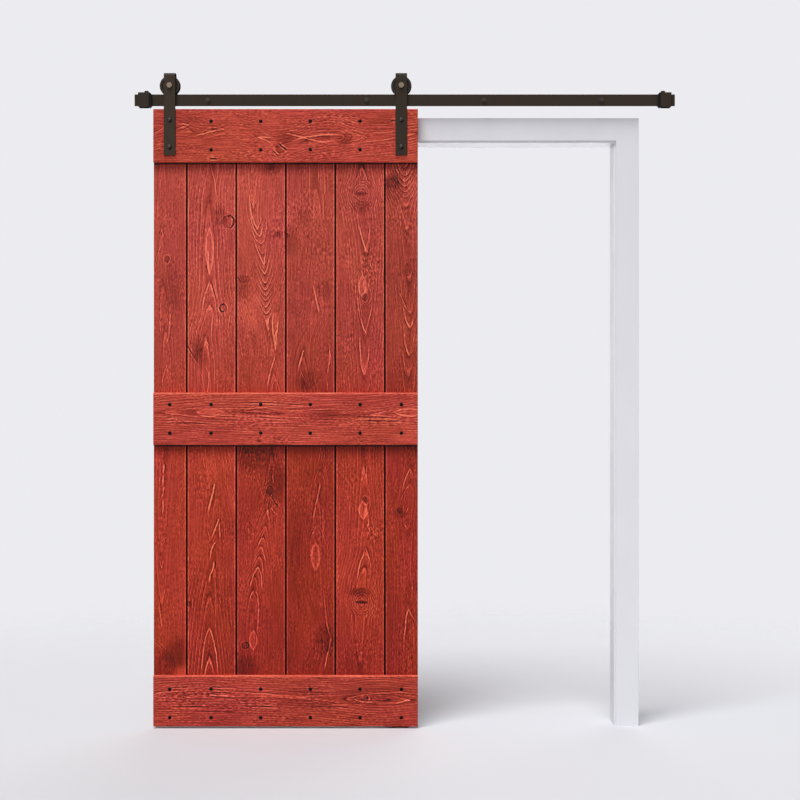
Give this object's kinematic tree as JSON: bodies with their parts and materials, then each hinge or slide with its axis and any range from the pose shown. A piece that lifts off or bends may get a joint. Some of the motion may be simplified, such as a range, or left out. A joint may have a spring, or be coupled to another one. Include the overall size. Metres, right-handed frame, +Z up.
{
  "type": "sliding barn door",
  "caption": "Plank door with face battens, hung by strap hangers with grooved wheels on a flat wall rail, with end stops, floor guide, doorway casing and jamb.",
  "frame": {"origin": "middle of the rail's bolt line on the face of the wall", "axes": "+X to the right along the rail, seen from the door's face; +Y into the wall; +Z up"},
  "size_m": [1.8698, 0.1885, 2.2653],
  "materials": {
    "stained_planks": "red stain on pine, satin",
    "stained_battens": "red stain on pine, satin",
    "black_screws": "black, satin",
    "bronze_paint": "dark bronze powder coat, satin",
    "bronze_fasteners": "dark bronze, satin",
    "axle_steel": "darkened steel, satin",
    "wheel_paint": "dark bronze, satin",
    "plain_steel": "zinc plated",
    "bearing_steel": "polished",
    "cage_plastic": "moulded",
    "bumper_rubber": "matt",
    "disc_plastic": "moulded",
    "white_paint": "white paint on wood, satin"
  },
  "bodies": {
    "root": {"casing_head": "white_paint", "casing_left": "white_paint", "casing_right": "white_paint", "guide_bracket": "bronze_paint", "guide_screws": "plain_steel", "jamb_head": "white_paint", "jamb_left": "white_paint", "jamb_right": "white_paint", "lag_bolts": "bronze_fasteners", "lag_washers": "bronze_fasteners", "rail": "bronze_paint", "standoffs": "bronze_paint", "stop_block_left": "bronze_paint", "stop_block_right": "bronze_paint", "stop_bumper_left": "bumper_rubber", "stop_bumper_right": "bumper_rubber", "stop_screws": "bronze_fasteners"},
    "door": {"anti_jump_discs": "disc_plastic", "axle_bolt_left": "axle_steel", "axle_bolt_right": "axle_steel", "axle_nut_left": "axle_steel", "axle_nut_right": "axle_steel", "axle_spacers_left": "plain_steel", "axle_spacers_right": "plain_steel", "batten_bottom": "stained_battens", "batten_middle": "stained_battens", "batten_top": "stained_battens", "bearing_inner_left": "bearing_steel", "bearing_inner_right": "bearing_steel", "disc_screws": "plain_steel", "hanger_strap_left": "bronze_paint", "hanger_strap_right": "bronze_paint", "plank_1": "stained_planks", "plank_2": "stained_planks", "plank_3": "stained_planks", "plank_4": "stained_planks", "plank_5": "stained_planks", "plank_6": "stained_planks", "screws_batten_bottom": "black_screws", "screws_batten_middle": "black_screws", "screws_batten_top": "black_screws", "sleeve_nuts_left": "plain_steel", "sleeve_nuts_right": "plain_steel", "strap_bolts_left": "bronze_fasteners", "strap_bolts_right": "bronze_fasteners"},
    "wheel_left": {"bearing_outer_left": "bearing_steel", "wheel_left": "wheel_paint"},
    "wheel_right": {"bearing_outer_right": "bearing_steel", "wheel_right": "wheel_paint"},
    "cage_left": {"bearing_balls_left": "bearing_steel", "bearing_cage_left": "cage_plastic"},
    "cage_right": {"bearing_balls_right": "bearing_steel", "bearing_cage_right": "cage_plastic"}
  },
  "joints": [
    {"name": "door_slide", "type": "slide", "parent": "root", "child": "door", "axis": [1, 0, 0], "range_m": [-0.04159, 0.86549]},
    {"name": "wheel_left_spin", "type": "hinge", "parent": "door", "child": "wheel_left", "pos_m": [-0.812, -0.043, 0.0487], "axis": [0, 1, 0], "continuous": true},
    {"name": "wheel_right_spin", "type": "hinge", "parent": "door", "child": "wheel_right", "pos_m": [-0.0119, -0.043, 0.0487], "axis": [0, 1, 0], "continuous": true},
    {"name": "cage_left_spin", "type": "hinge", "parent": "door", "child": "cage_left", "pos_m": [-0.812, -0.043, 0.0487], "axis": [0, 1, 0], "continuous": true},
    {"name": "cage_right_spin", "type": "hinge", "parent": "door", "child": "cage_right", "pos_m": [-0.0119, -0.043, 0.0487], "axis": [0, 1, 0], "continuous": true}
  ],
  "couplings": [
    {"joint": "wheel_left_spin", "follows": "door_slide", "rad_per_m": 35.088},
    {"joint": "wheel_right_spin", "follows": "door_slide", "rad_per_m": 35.088},
    {"joint": "cage_left_spin", "follows": "door_slide", "rad_per_m": 21.754},
    {"joint": "cage_right_spin", "follows": "door_slide", "rad_per_m": 21.754}
  ]
}
